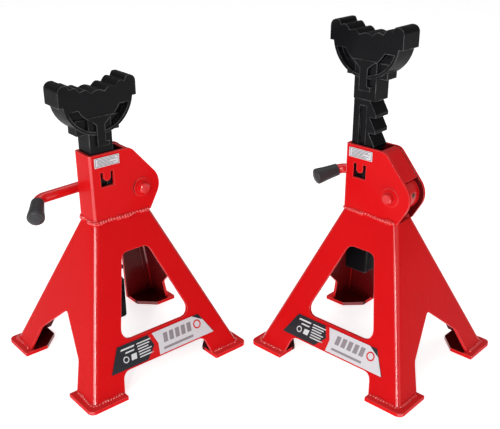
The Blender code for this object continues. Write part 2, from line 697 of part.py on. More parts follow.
def make_pin():
    """Cross pin that locks the pawl on the rod."""
    length = 2 * (PAWL_HUB + PIN_PROUD)
    end = length / 2
    chamfer = PIN_PROUD
    profile = [
        (0, -end), (PIN_RADIUS - chamfer, -end), (PIN_RADIUS, chamfer - end),
        (PIN_RADIUS, end - chamfer), (PIN_RADIUS - chamfer, end), (0, end),
    ]
    return moved(lathe(profile, 16), pin_matrix())


# ---------------------------------------------------------------- labels

def make_housing_label():
    """Data plate near the top of the front plate."""
    left = HOUSING_BACK + HOUSING_LABEL_INSET
    top = HOUSING_TOP - HOUSING_LABEL_DROP
    front = -HOUSING_HALF_Y - LABEL_GAP
    return block(
        left, left + HOUSING_LABEL_LENGTH, front - LABEL_THICKNESS, front, top - HOUSING_LABEL_HEIGHT, top)


def make_base_label():
    """Decal on the sloping crossbar, with slanted ends."""
    slope = (BASE_TOP_RECT[2] - BASE_FLOOR_RECT[2]) / (BASE_TOP - BASE_BOTTOM)
    normal = Vector((0, -1, slope)).normalized()
    corners = [
        (-BASE_LABEL_TOP_HALF, BASE_LABEL_TOP), (BASE_LABEL_TOP_HALF, BASE_LABEL_TOP),
        (BASE_LABEL_BOTTOM_HALF, BASE_LABEL_BOTTOM), (-BASE_LABEL_BOTTOM_HALF, BASE_LABEL_BOTTOM),
    ]
    bm = bmesh.new()
    rings = []
    for height in (LABEL_GAP, LABEL_GAP + LABEL_THICKNESS):
        points = [Vector((x, base_rect(z)[2], z)) + normal * height for x, z in corners]
        rings.append([bm.verts.new(p) for p in points])
    bm.faces.new(rings[0])
    bm.faces.new(rings[1])
    for i in range(4):
        bm.faces.new((rings[0][i], rings[0][i - 3], rings[1][i - 3], rings[1][i]))
    return mesh_from(bm)


# ---------------------------------------------------------------- assembly

def paint(name):
    """Material with a piece's colour, roughness and metallic value."""
    colour, roughness, metallic = COLOURS[name]
    material = bpy.data.materials.new(name)
    material.use_nodes = True
    shader = material.node_tree.nodes["Principled BSDF"]
    shader.inputs["Base Color"].default_value = (*colour, 1)
    shader.inputs["Roughness"].default_value = roughness
    shader.inputs["Metallic"].default_value = metallic
    return material


def empty(name, place, yaw=0, parent=None):
    """Empty that carries a stand or a lever."""
    item = bpy.data.objects.new(name, None)
    item.location = place
    item.rotation_euler = (0, 0, yaw)
    item.parent = parent
    bpy.context.collection.objects.link(item)
    return item


def add(name, mesh, parent, place=(0, 0, 0)):
    """One piece, under the empty that carries it."""
    item = bpy.data.objects.new(name, mesh)
    item.location = place
    item.parent = parent
    bpy.context.collection.objects.link(item)


def finished(mesh, material, smooth_angle=35):
    """Give a mesh its material and its shading."""
    mesh.materials.clear()
    mesh.materials.append(material)
    mesh.shade_smooth()
    mesh.set_sharp_from_angle(angle=math.radians(smooth_angle))
    return mesh


def foot_reach(yaw):
    """How far a turned stand's feet reach along X from its middle."""
    return FOOT_HALF_X * math.cos(yaw) + FOOT_HALF_Y * abs(math.sin(yaw))


def stand_places():
    """Name, x, y, yaw and raised teeth of each stand."""
    low_x = -foot_reach(LOW_YAW) - STAND_GAP / 2
    high_x = foot_reach(HIGH_YAW) + STAND_GAP / 2
    return (("low", low_x, LOW_Y, LOW_YAW, 0), ("high", high_x, HIGH_Y, HIGH_YAW, RAISED_TEETH))


def main():
    for item in list(bpy.data.objects):
        bpy.data.objects.remove(item)
    paints = {name: paint(name) for name in COLOURS}
    fixed = {
        "base_shell": (make_base_shell(), "red_paint"),
        "base_rear_panel": (make_rear_panel(), "red_paint"),
        "foot_plate_front_left": (make_foot(-1, -1), "red_paint"),
        "foot_plate_front_right": (make_foot(1, -1), "red_paint"),
        "foot_plate_rear_left": (make_foot(-1, 1), "red_paint"),
        "foot_plate_rear_right": (make_foot(1, 1), "red_paint"),
        "housing_channel": (make_housing(), "red_paint"),
        "housing_cover": (make_cover(), "red_paint"),
        "housing_label": (make_housing_label(), "silver_label"),
        "base_label": (make_base_label(), "dark_label"),
    }
    lever = {
        "pawl": (make_pawl(), "red_paint"),
        "handle_rod": (make_rod(), "red_paint"),
        "handle_grip": (make_grip(), "grey_grip"),
        "pawl_pin": (make_pin(), "pin_steel"),
    }
    for mesh, colour in list(fixed.values()) + list(lever.values()):
        finished(mesh, paints[colour])
    column = finished(make_column(), paints["black_paint"])
    column.transform(Matrix.Translation((-SADDLE_CENTRE, 0, -COLUMN_BOTTOM)))
    for name, x, y, yaw, teeth in stand_places():
        stand = empty(name + "_stand", (x, y, 0), yaw)
        axis = empty(name + "_lever_axis", PIVOT, parent=stand)
        for piece, (mesh, _) in fixed.items():
            add(f"{name}_{piece}", mesh, stand)
        for piece, (mesh, _) in lever.items():
            add(f"{name}_{piece}", mesh, axis)
        raised = COLUMN_BOTTOM + teeth * TOOTH_PITCH
        add(f"{name}_ratchet_column", column, stand, (SADDLE_CENTRE, 0, raised))


main()
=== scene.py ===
"""Looks for a pair of ratchet axle stands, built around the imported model.

Each stand is worked on in its own frame: +X is the side with the pawl, -Y the front with the labels, and
the origin is on the floor under the middle of the feet. All sizes are in metres.
"""

import json
import math

import bmesh
import bpy
from mathutils import Matrix, Vector, noise


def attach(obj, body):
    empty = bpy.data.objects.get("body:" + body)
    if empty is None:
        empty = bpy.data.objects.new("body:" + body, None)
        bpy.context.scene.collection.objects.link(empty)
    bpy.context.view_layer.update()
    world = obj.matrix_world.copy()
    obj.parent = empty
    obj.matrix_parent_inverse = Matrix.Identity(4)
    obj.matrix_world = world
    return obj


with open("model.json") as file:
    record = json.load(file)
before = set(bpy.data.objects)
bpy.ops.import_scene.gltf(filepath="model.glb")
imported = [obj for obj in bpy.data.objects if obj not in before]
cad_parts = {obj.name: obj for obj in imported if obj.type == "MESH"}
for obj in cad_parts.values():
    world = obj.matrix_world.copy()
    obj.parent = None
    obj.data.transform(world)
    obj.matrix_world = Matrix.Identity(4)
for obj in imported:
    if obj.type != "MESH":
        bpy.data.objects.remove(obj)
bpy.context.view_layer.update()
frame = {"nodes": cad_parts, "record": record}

bl_info = {
    "name": "Axle stand pair",
    "version": (1, 0, 0),
    "blender": (4, 5, 0),
    "location": "View3D > Sidebar > Axle Stands",
    "description": "Finishes, weld beads, prints and a studio for a pair of ratchet axle stands",
    "category": "Object",
}

MM = 0.001
STANDS = ("low", "high")
PIVOT_X = 20.1 * MM
RED_NODES = (
    "base_shell", "base_rear_panel", "foot_plate_front_left", "foot_plate_front_right",
    "foot_plate_rear_left", "foot_plate_rear_right", "housing_channel", "housing_cover",
)
LEVER_NODES = ("handle_rod", "pawl")

# From the cover's edge to the outside of the housing's side plates
COVER_TO_SIDE = 3.4 * MM
# Radius of the bends that the beads follow round the housing and round the legs
HOUSING_TURN = 3 * MM
LEG_TURN = 5 * MM
# Depth of a slice at a sheet's edge, in which its corner points are looked for
SLICE = 0.3 * MM
# How far a panel's beads lie below its face, and how far they stop short of its ends
BEAD_SINK = 0.9 * MM
BEAD_STOP = 1 * MM

# Rib under each saddle, seen from the side and measured from the saddle's top
RIB_HALF = 4.4 * MM
RIB_FOOT = 3.6 * MM
RIB_PROUD = 0.7 * MM
RIB_SUNK = 3 * MM

PRINT_THICKNESS = 0.06 * MM
PRINT_SUNK = 0.3
# How much shorter the base label's top edge is than its lower one, at each end
LABEL_LEAN = 12.9 * MM

# Coat weight on the bends of the folded sheet, whose flats have much less
FOLD_COAT = 0.55

FLOOR_HALF = 12.0
FLOOR_GLOW = 0.72


# ------------------------------------------------------------------ settings

class AxleStandPaint(bpy.types.PropertyGroup):
    """Colours and surface values of the painted and moulded pieces."""
    red: bpy.props.FloatVectorProperty(
        name="Frame red", description="Powder coat on the folded steel", subtype="COLOR",
        size=3, min=0, max=1, default=(0.70, 0.006, 0.008))
    deep_red: bpy.props.FloatVectorProperty(
        name="Deep red", description="Where the coat lies thick or in a corner", subtype="COLOR",
        size=3, min=0, max=1, default=(0.58, 0.004, 0.006))
    # Edge highlight red is a painted highlight: a paler, pinker colour along folds and edges where the coat
    # would catch the light.
    edge_highlight_red: bpy.props.FloatVectorProperty(
        name="Edge highlight red", description="Where the coat is thin over folds and edges", subtype="COLOR",
        size=3, min=0, max=1, default=(0.80, 0.08, 0.08))
    # Inner shade red is painted shade: a dark colour on the faces inside the base and on the foot plates
    # under the legs, where the stand shades itself.
    inner_shade_red: bpy.props.FloatVectorProperty(
        name="Inner shade red", description="Thin, dark coat on the inside of the base", subtype="COLOR",
        size=3, min=0, max=1, default=(0.10, 0.003, 0.004))
    cast_black: bpy.props.FloatVectorProperty(
        name="Casting black", description="Enamel on the column", subtype="COLOR",
        size=3, min=0, max=1, default=(0.004, 0.004, 0.005))
    # Casting edge highlight is a painted highlight: a paler grey along the casting's edges.
    cast_edge_highlight: bpy.props.FloatVectorProperty(
        name="Casting edge", description="Rubbed edges of the casting", subtype="COLOR",
        size=3, min=0, max=1, default=(0.06, 0.06, 0.064))
    grip_grey: bpy.props.FloatVectorProperty(
        name="Grip grey", description="Moulded grip on the lever", subtype="COLOR",
        size=3, min=0, max=1, default=(0.035, 0.034, 0.037))
    pin_metal: bpy.props.FloatVectorProperty(
        name="Pin metal", description="Cross pin in the pawl", subtype="COLOR",
        size=3, min=0, max=1, default=(0.04, 0.02, 0.018))
    label_silver: bpy.props.FloatVectorProperty(
        name="Label silver", description="Silver film", subtype="COLOR",
        size=3, min=0, max=1, default=(0.72, 0.71, 0.74))
    label_dark: bpy.props.FloatVectorProperty(
        name="Label dark", description="Dark printed film", subtype="COLOR",
        size=3, min=0, max=1, default=(0.02, 0.022, 0.028))


class AxleStandEdges(bpy.types.PropertyGroup):
    """Sizes of the rounded edges."""
    sheet_round: bpy.props.FloatProperty(
        name="Sheet edge", description="Rounding of cut sheet edges under the coat",
        default=0.5 * MM, min=0, unit="LENGTH")
    cast_round: bpy.props.FloatProperty(
        name="Casting edge", description="Rounding of the casting's edges",
        default=0.8 * MM, min=0, unit="LENGTH")
    small_round: bpy.props.FloatProperty(
        name="Small edge", description="Rounding of the grip and the pin",
        default=0.3 * MM, min=0, unit="LENGTH")


class AxleStandWelds(bpy.types.PropertyGroup):
    """Sizes of the weld beads."""
    seam_bead: bpy.props.FloatProperty(
        name="Seam bead", description="Half width of the bead under the housing",
        default=2.5 * MM, min=0, unit="LENGTH")
    foot_bead: bpy.props.FloatProperty(
        name="Foot bead", description="Half width of the beads round the legs",
        default=2.0 * MM, min=0, unit="LENGTH")
    panel_bead: bpy.props.FloatProperty(
        name="Panel bead", description="Half width of the rear panel's beads",
        default=1.3 * MM, min=0, unit="LENGTH")
    ripple: bpy.props.FloatProperty(
        name="Ripple", description="Length of one ripple along a bead",
        default=3.0 * MM, min=0.5 * MM, unit="LENGTH")


class AxleStandStudio(bpy.types.PropertyGroup):
    """Floor, lights and camera."""
    floor_colour: bpy.props.FloatVectorProperty(
        name="Floor", description="Pale studio floor", subtype="COLOR",
        size=3, min=0, max=1, default=(0.92, 0.92, 0.925))
    sky_strength: bpy.props.FloatProperty(
        name="Sky", description="Strength of the even light", default=0.25, min=0)
    key_power: bpy.props.FloatProperty(
        name="Key light", description="Power of the large light on the left", default=10, min=0,
        unit="POWER")
    front_power: bpy.props.FloatProperty(
        name="Front light", description="Power of the tall light behind the camera", default=11, min=0,
        unit="POWER")
    fill_power: bpy.props.FloatProperty(
        name="Fill light", description="Power of the light on the right", default=0.4, min=0, unit="POWER")
    top_power: bpy.props.FloatProperty(
        name="Top light", description="Power of the light overhead", default=6, min=0, unit="POWER")
    camera_place: bpy.props.FloatVectorProperty(
        name="Camera", description="Place of the camera", subtype="TRANSLATION", unit="LENGTH",
        size=3, default=(0.0034, -0.7191, 0.4628))
    camera_pitch: bpy.props.FloatProperty(
        name="Pitch", description="How far the camera looks down", subtype="ANGLE",
        default=math.radians(23.53))
    camera_lens: bpy.props.FloatProperty(
        name="Lens", description="Focal length in millimetres", default=56.95, min=1)


# ------------------------------------------------------------------ stand frames

def stand_matrix(stand):
    """From a stand's own frame to the pair's, worked out from the lever's pivot."""
    joints = frame["record"]["behaviour"]["joints"]
    pivot = next(joint for joint in joints if joint["name"] == stand + "_lever_pivot")
    across = Vector(pivot["axis"])
    yaw = math.atan2(-across.x, across.y)
    turn = Matrix.Rotation(yaw, 4, "Z")
    origin = Vector(pivot["pos_m"]) - turn @ Vector((PIVOT_X, 0, 0))
    origin.z = 0
    return Matrix.Translation(origin) @ turn


def local_points(stand, node):
    """A node's corner points in its stand's own frame."""
    back = stand_matrix(stand).inverted()
    return [back @ vertex.co for vertex in frame["nodes"][f"{stand}_{node}"].data.vertices]


def local_box(stand, node):
    """Lowest and highest corner of a node in its stand's own frame."""
    points = local_points(stand, node)
    low = Vector([min(p[k] for p in points) for k in range(3)])
    high = Vector([max(p[k] for p in points) for k in range(3)])
    return low, high


# ------------------------------------------------------------------ node groups

def add_node(tree, kind, place, **values):
    """Shader node of a kind, with its named inputs set."""
    node = tree.nodes.new(kind)
    node.location = place
    for name, value in values.items():
        node.inputs[name.replace("_", " ")].default_value = value
    return node


def new_group(name, inputs, outputs):
    """Empty node group with named sockets: each (name, kind, default)."""
    group = bpy.data.node_groups.new(name, "ShaderNodeTree")
    for label, kind, value in inputs:
        socket = group.interface.new_socket(name=label, in_out="INPUT", socket_type=kind)
        socket.default_value = value
    for label, kind in outputs:
        group.interface.new_socket(name=label, in_out="OUTPUT", socket_type=kind)
    entry = group.nodes.new("NodeGroupInput")
    entry.location = (-700, 0)
    leave = group.nodes.new("NodeGroupOutput")
    leave.location = (700, 0)
    return group, entry, leave


def edge_mask_group():
    """Mask that is 1 on rounded edges and 0 on flats, broken up by noise."""
    group, entry, leave = new_group(
        "Edge Mask",
        [("Width", "NodeSocketFloat", 1.2 * MM), ("Break Up", "NodeSocketFloat", 0.4)],
        [("Mask", "NodeSocketFloat")])
    links = group.links
    bevel = add_node(group, "ShaderNodeBevel", (-500, 100))
    bevel.samples = 6
    links.new(entry.outputs["Width"], bevel.inputs["Radius"])
    shape = add_node(group, "ShaderNodeNewGeometry", (-500, -60))
    dot = add_node(group, "ShaderNodeVectorMath", (-300, 60))
    dot.operation = "DOT_PRODUCT"
    links.new(bevel.outputs["Normal"], dot.inputs[0])
    links.new(shape.outputs["True Normal"], dot.inputs[1])
    ramp = add_node(group, "ShaderNodeMapRange", (-100, 60), From_Min=0.998, From_Max=0.80)
    links.new(dot.outputs["Value"], ramp.inputs["Value"])
    place = add_node(group, "ShaderNodeTexCoord", (-500, -260))
    patches = add_node(group, "ShaderNodeTexNoise", (-300, -260), Scale=90.0, Detail=5.0)
    links.new(place.outputs["Object"], patches.inputs["Vector"])
    spread = add_node(group, "ShaderNodeMapRange", (-100, -260), From_Min=0.35, From_Max=0.6)
    links.new(patches.outputs["Fac"], spread.inputs["Value"])
    soften = add_node(group, "ShaderNodeMix", (100, -160), A=1.0)
    links.new(entry.outputs["Break Up"], soften.inputs["Factor"])
    links.new(spread.outputs["Result"], soften.inputs["B"])
    product = add_node(group, "ShaderNodeMath", (320, 0))
    product.operation = "MULTIPLY"
    product.use_clamp = True
    links.new(ramp.outputs["Result"], product.inputs[0])
    links.new(soften.outputs["Result"], product.inputs[1])
    links.new(product.outputs["Value"], leave.inputs["Mask"])
    return group


def surface_grain_group():
    """Fine relief over a coarse one, with a mask for uneven gloss."""
    group, entry, leave = new_group(
        "Surface Grain",
        [("Coarse Scale", "NodeSocketFloat", 60.0), ("Fine Scale", "NodeSocketFloat", 700.0),
         ("Fine Share", "NodeSocketFloat", 0.4)],
        [("Height", "NodeSocketFloat"), ("Cloud", "NodeSocketFloat")])
    links = group.links
    place = add_node(group, "ShaderNodeTexCoord", (-500, 0))
    coarse = add_node(group, "ShaderNodeTexNoise", (-300, 120), Detail=3.0, Roughness=0.5)
    fine = add_node(group, "ShaderNodeTexNoise", (-300, -120), Detail=4.0, Roughness=0.6)
    cloud = add_node(group, "ShaderNodeTexNoise", (-300, -360), Scale=14.0, Detail=3.0)
    for texture in (coarse, fine, cloud):
        links.new(place.outputs["Object"], texture.inputs["Vector"])
    links.new(entry.outputs["Coarse Scale"], coarse.inputs["Scale"])
    links.new(entry.outputs["Fine Scale"], fine.inputs["Scale"])
    mix = add_node(group, "ShaderNodeMix", (0, 40))
    links.new(entry.outputs["Fine Share"], mix.inputs["Factor"])
    links.new(coarse.outputs["Fac"], mix.inputs["A"])
    links.new(fine.outputs["Fac"], mix.inputs["B"])
    links.new(mix.outputs["Result"], leave.inputs["Height"])
    links.new(cloud.outputs["Fac"], leave.inputs["Cloud"])
    return group


def sheet_masks_group():
    """Masks on folded sheet: 1 on the outside of folds, and a painted-shade mask that is 1 on faces that
    look inwards under the stand and on the foot plates' tops inside the legs.
    """
    group, entry, leave = new_group(
        "Sheet Masks",
        [("Centre X", "NodeSocketFloat", 0.0), ("Centre Y", "NodeSocketFloat", 0.0),
         ("Yaw", "NodeSocketFloat", 0.0)],
        [("Fold", "NodeSocketFloat"), ("Inside", "NodeSocketFloat")])
    links = group.links

    def math_node(operation, first, second, place):
        """Result of one sum; either value may be a socket."""
        node = group.nodes.new("ShaderNodeMath")
        node.operation = operation
        node.location = place
        for socket, value in zip(node.inputs, (first, second)):
            if isinstance(value, bpy.types.NodeSocket):
                links.new(value, socket)
            elif value is not None:
                socket.default_value = value
        return node.outputs["Value"]

    def turned(vector, place):
        """The vector in the stand's frame, as its three parts."""
        turn = add_node(group, "ShaderNodeVectorRotate", place)
        turn.rotation_type = "Z_AXIS"
        links.new(vector, turn.inputs["Vector"])
        back = math_node("MULTIPLY", entry.outputs["Yaw"], -1.0, (place[0] - 180, place[1] - 120))
        links.new(back, turn.inputs["Angle"])
        parts = add_node(group, "ShaderNodeSeparateXYZ", (place[0] + 180, place[1]))
        links.new(turn.outputs["Vector"], parts.inputs["Vector"])
        return parts.outputs

    def step(value, start, end, place):
        """Ramp from 0 at a start to 1 at an end."""
        ramp = add_node(group, "ShaderNodeMapRange", place, From_Min=start, From_Max=end)
        links.new(value, ramp.inputs["Value"])
        return ramp.outputs["Result"]

    coords = add_node(group, "ShaderNodeTexCoord", (-1700, 0))
    centre = add_node(group, "ShaderNodeCombineXYZ", (-1700, -300))
    links.new(entry.outputs["Centre X"], centre.inputs["X"])
    links.new(entry.outputs["Centre Y"], centre.inputs["Y"])
    offset = add_node(group, "ShaderNodeVectorMath", (-1500, -200))
    offset.operation = "SUBTRACT"
    links.new(coords.outputs["Object"], offset.inputs[0])
    links.new(centre.outputs["Vector"], offset.inputs[1])
    x, y, z = turned(offset.outputs["Vector"], (-1300, -200))
    across, along, up = turned(coords.outputs["Normal"], (-1300, 200))
    far_x = math_node("ABSOLUTE", x, None, (-900, -100))
    far_y = math_node("ABSOLUTE", y, None, (-900, -260))
    both = math_node(
        "MINIMUM", math_node("ABSOLUTE", across, None, (-900, 300)),
        math_node("ABSOLUTE", along, None, (-900, 160)), (-700, 240))
    links.new(step(both, 0.18, 0.42, (300, 240)), leave.inputs["Fold"])
    # Painted shade: faces that look inwards from their nearer wall, and faces at any place above the shell's
    # top, are marked for the dark inner colour.
    high_up = step(z, 0.1525, 0.153, (-700, 0))
    walls = []
    for part, direction, mine, other, row in (
            (x, across, far_x, far_y, -100), (y, along, far_y, far_x, -400)):
        facing = math_node("MULTIPLY", direction, math_node("SIGN", part, None, (-700, row)), (-500, row))
        near_wall = math_node(
            "GREATER_THAN", mine, math_node("MULTIPLY", other, 0.8, (-700, row - 140)), (-500, row - 140))
        counted = math_node("MAXIMUM", near_wall, high_up, (-300, row - 140))
        walls.append(math_node("MULTIPLY", step(facing, -0.5, -0.8, (-300, row)), counted, (-100, row)))
    inner = math_node("MAXIMUM", walls[0], walls[1], (100, -200))
    # Painted shade on the tops of the foot plates inside each leg.
    under = math_node(
        "MULTIPLY", step(far_x, 0.0855, 0.0835, (-300, -700)), step(far_y, 0.0775, 0.0755, (-300, -960)),
        (-100, -760))
    plate = math_node(
        "MULTIPLY", step(up, 0.5, 0.9, (-300, -1220)), step(z, 0.008, 0.006, (-300, -1480)), (-100, -1240))
    shaded = math_node("MULTIPLY", under, plate, (100, -900))
    links.new(math_node("MAXIMUM", inner, shaded, (300, -400)), leave.inputs["Inside"])
    return group


def dust_group():
    """Faint settled dust: a mask on faces that look up, in patches."""
    group, entry, leave = new_group(
        "Settled Dust", [("Amount", "NodeSocketFloat", 0.1)], [("Mask", "NodeSocketFloat")])
    links = group.links
    shape = add_node(group, "ShaderNodeNewGeometry", (-500, 100))
    split = add_node(group, "ShaderNodeSeparateXYZ", (-320, 100))
    links.new(shape.outputs["Normal"], split.inputs["Vector"])
    up = add_node(group, "ShaderNodeMapRange", (-140, 100), From_Min=0.35, From_Max=1.0)
    links.new(split.outputs["Z"], up.inputs["Value"])
    place = add_node(group, "ShaderNodeTexCoord", (-500, -160))
    patches = add_node(group, "ShaderNodeTexNoise", (-320, -160), Scale=45.0, Detail=6.0)
    links.new(place.outputs["Object"], patches.inputs["Vector"])
    product = add_node(group, "ShaderNodeMath", (60, 0))
    product.operation = "MULTIPLY"
    links.new(up.outputs["Result"], product.inputs[0])
    links.new(patches.outputs["Fac"], product.inputs[1])
    scaled = add_node(group, "ShaderNodeMath", (260, 0))
    scaled.operation = "MULTIPLY"
    scaled.use_clamp = True
    links.new(product.outputs["Value"], scaled.inputs[0])
    links.new(entry.outputs["Amount"], scaled.inputs[1])
    links.new(scaled.outputs["Value"], leave.inputs["Mask"])
    return group


def shared(name, build):
    """A node group by name, built the first time it is asked for."""
    return bpy.data.node_groups.get(name) or build()


# ------------------------------------------------------------------ materials

class Finish:
    """A material being built: its tree, its shader and helpers that place the shared groups."""

    def __init__(self, name, **constants):
        self.material = bpy.data.materials.new(name)
        self.material.use_nodes = True
        self.tree = self.material.node_tree
        self.shader = self.tree.nodes["Principled BSDF"]
        self.links = self.tree.links
        for label, value in constants.items():
            self.shader.inputs[label.replace("_", " ")].default_value = value

    def group(self, name, build, place, **values):
        """One of the shared groups, with its own values."""
        node = self.tree.nodes.new("ShaderNodeGroup")
        node.node_tree = shared(name, build)
        node.location = place
        for label, value in values.items():
            node.inputs[label.replace("_", " ")].default_value = value
        return node

    def mix_colour(self, mask, first, second, place):
        """Colour between two, by a mask; either may be a socket."""
        node = self.tree.nodes.new("ShaderNodeMix")
        node.data_type = "RGBA"
        node.location = place
        self.links.new(mask, node.inputs["Factor"])
        for socket, colour in ((node.inputs[6], first), (node.inputs[7], second)):
            if isinstance(colour, bpy.types.NodeSocket):
                self.links.new(colour, socket)
            else:
                socket.default_value = (*colour, 1)
        return node.outputs[2]

    def span(self, value, low, high, place):
        """Map a 0.3 to 0.7 value to a low and a high."""
        node = add_node(
            self.tree, "ShaderNodeMapRange", place, From_Min=0.3, From_Max=0.7, To_Min=low, To_Max=high)
        self.links.new(value, node.inputs["Value"])
        return node.outputs["Result"]

    def relief(self, height, strength, distance):
        """Bump on the shader's normal from a height."""
        bump = add_node(self.tree, "ShaderNodeBump", (-200, -300), Strength=strength, Distance=distance)
        self.links.new(height, bump.inputs["Height"])
        self.links.new(bump.outputs["Normal"], self.shader.inputs["Normal"])

    def gloss(self, mask, low, high):
        """Coat weight between two values, by a mask."""
        node = add_node(self.tree, "ShaderNodeMix", (-500, -420), A=low, B=high)
        self.links.new(mask, node.inputs["Factor"])
        self.links.new(node.outputs["Result"], self.shader.inputs["Coat Weight"])


def powder_coat(paint, stand, name="Red Powder Coat", coat=0.02, depth=0.12, sheet=True):
    """Glossy red coat with a faint orange peel: a painted highlight paler over edges, shinier on folds, and
    painted shade dark inside a sheet.
    """
    finish = Finish(f"{name} {stand}", Coat_Roughness=0.1, Coat_IOR=2.2, Specular_IOR_Level=0.03)
    place = stand_matrix(stand)
    grain = finish.group(
        "Surface Grain", surface_grain_group, (-1100, 0), Coarse_Scale=240.0, Fine_Scale=900.0,
        Fine_Share=0.35)
    edge = finish.group("Edge Mask", edge_mask_group, (-1100, 300), Width=1.4 * MM, Break_Up=0.15)
    dust = finish.group("Settled Dust", dust_group, (-1100, -300), Amount=0.06)
    sides = finish.group(
        "Sheet Masks", sheet_masks_group, (-1100, -500), Centre_X=place.translation.x,
        Centre_Y=place.translation.y, Yaw=place.to_euler().z)
    body = finish.mix_colour(
        finish.span(grain.outputs["Cloud"], 0, 0.35, (-900, 0)), tuple(paint.red), tuple(paint.deep_red),
        (-700, 100))
    # Painted highlight: a paler, pinker colour along edges and folds.
    paler_edges = finish.mix_colour(edge.outputs["Mask"], body, tuple(paint.edge_highlight_red), (-500, 150))
    colour = finish.mix_colour(dust.outputs["Mask"], paler_edges, (0.8, 0.62, 0.6), (-320, 150))
    # Painted shade: the dark inner colour over faces inside the base and over the foot plates under the
    # legs.
    if sheet:
        colour = finish.mix_colour(sides.outputs["Inside"], colour, tuple(paint.inner_shade_red), (-140, 150))
    finish.links.new(colour, finish.shader.inputs["Base Color"])
    finish.gloss(sides.outputs["Fold"], coat, FOLD_COAT)
    finish.links.new(
        finish.span(grain.outputs["Cloud"], 0.22, 0.34, (-700, -120)), finish.shader.inputs["Roughness"])
    finish.relief(grain.outputs["Height"], depth, 0.25 * MM)
    return finish.material


def cast_enamel(paint):
    """Black enamel over a sand casting, with a painted highlight paler on its edges."""
    finish = Finish("Black Casting Enamel", Coat_Roughness=0.12, Coat_IOR=2.0, Specular_IOR_Level=0.02)
    grain = finish.group(
        "Surface Grain", surface_grain_group, (-900, 0), Coarse_Scale=170.0, Fine_Scale=850.0,
        Fine_Share=0.45)
    edge = finish.group("Edge Mask", edge_mask_group, (-900, 300), Width=1.2 * MM, Break_Up=0.9)
    dust = finish.group("Settled Dust", dust_group, (-900, -300), Amount=0.03)
    body = finish.mix_colour(
        finish.span(grain.outputs["Cloud"], 0, 1, (-700, 0)), tuple(paint.cast_black), (0.008, 0.008, 0.009),
        (-500, 100))
    # Painted highlight: a paler grey along the casting's edges.
    paler_edges = finish.mix_colour(edge.outputs["Mask"], body, tuple(paint.cast_edge_highlight), (-300, 150))
    dusty = finish.mix_colour(dust.outputs["Mask"], paler_edges, (0.3, 0.29, 0.28), (-120, 150))
    finish.links.new(dusty, finish.shader.inputs["Base Color"])
    finish.gloss(edge.outputs["Mask"], 0.05, 1.0)
    finish.links.new(
        finish.span(grain.outputs["Height"], 0.32, 0.5, (-500, -120)), finish.shader.inputs["Roughness"])
    finish.relief(grain.outputs["Height"], 0.55, 0.5 * MM)
    return finish.material


def moulded_grip(paint):
    """Satin grey plastic with a fine spark-eroded grain."""
    finish = Finish("Grey Moulded Grip", Coat_Weight=0.05, Coat_Roughness=0.3, Specular_IOR_Level=0.25)
    grain = finish.group(
        "Surface Grain", surface_grain_group, (-900, 0), Coarse_Scale=500.0, Fine_Scale=1500.0,
        Fine_Share=0.5)
    edge = finish.group("Edge Mask", edge_mask_group, (-900, 300), Width=0.8 * MM, Break_Up=0.3)
    paler_edges = finish.mix_colour(edge.outputs["Mask"], tuple(paint.grip_grey), (0.14, 0.14, 0.15), (-300, 150))
    finish.links.new(paler_edges, finish.shader.inputs["Base Color"])
    finish.links.new(
        finish.span(grain.outputs["Cloud"], 0.42, 0.58, (-500, -120)), finish.shader.inputs["Roughness"])
    finish.relief(grain.outputs["Height"], 0.3, 0.2 * MM)
    return finish.material


def pin_steel(paint):
    """Plain steel with a little rust in its pits."""
    finish = Finish("Pin Steel", Metallic=1.0)
    grain = finish.group(
        "Surface Grain", surface_grain_group, (-900, 0), Coarse_Scale=400.0, Fine_Scale=2000.0,
        Fine_Share=0.5)
    body = finish.mix_colour(
        finish.span(grain.outputs["Height"], 0, 1, (-500, 100)), tuple(paint.pin_metal), (0.22, 0.13, 0.08),
        (-300, 150))
    finish.links.new(body, finish.shader.inputs["Base Color"])
    finish.links.new(
        finish.span(grain.outputs["Cloud"], 0.3, 0.5, (-500, -120)), finish.shader.inputs["Roughness"])
    finish.relief(grain.outputs["Height"], 0.25, 0.1 * MM)
    return finish.material


def printed_film(name, colour, roughness):
    """Printed plastic film with a fine print grain and a slightly uneven gloss."""
    finish = Finish(name, Coat_Weight=0.1, Coat_Roughness=0.12, Specular_IOR_Level=0.3)
    grain = finish.group(
        "Surface Grain", surface_grain_group, (-900, 0), Coarse_Scale=300.0, Fine_Scale=2600.0,
        Fine_Share=0.7)
    darker = tuple(c * 0.86 for c in colour)
    body = finish.mix_colour(
        finish.span(grain.outputs["Height"], 0, 0.7, (-500, 100)), tuple(colour), darker, (-300, 150))
    finish.links.new(body, finish.shader.inputs["Base Color"])
    finish.links.new(
        finish.span(grain.outputs["Cloud"], roughness * 0.85, roughness * 1.2, (-500, -120)),
        finish.shader.inputs["Roughness"])
    finish.relief(grain.outputs["Height"], 0.08, 0.05 * MM)
    return finish.material


# ------------------------------------------------------------------ mesh helpers

def cad(stand, name):
    """A carried-over node's object."""
    return frame["nodes"][f"{stand}_{name}"]


def dress(item, material, rounding, angle=30):
    """Give a carried-over node its material and real rounded edges."""
    item.data.materials.clear()
    item.data.materials.append(material)
    weld = item.modifiers.new("Join corners", "WELD")
    weld.merge_threshold = 0.01 * MM
    if rounding > 0:
        bevel = item.modifiers.new("Round edges", "BEVEL")
        bevel.width = rounding
        bevel.segments = 2
        bevel.limit_method = "ANGLE"
        bevel.angle_limit = math.radians(angle)
        bevel.use_clamp_overlap = True
    even = item.modifiers.new("Flat faces stay flat", "WEIGHTED_NORMAL")
    even.weight = 100
    even.keep_sharp = True
    shade(item.data)


def shade(mesh, angle=32):
    """Smooth shading that keeps real corners sharp."""
    mesh.shade_smooth()
    mesh.set_sharp_from_angle(angle=math.radians(angle))


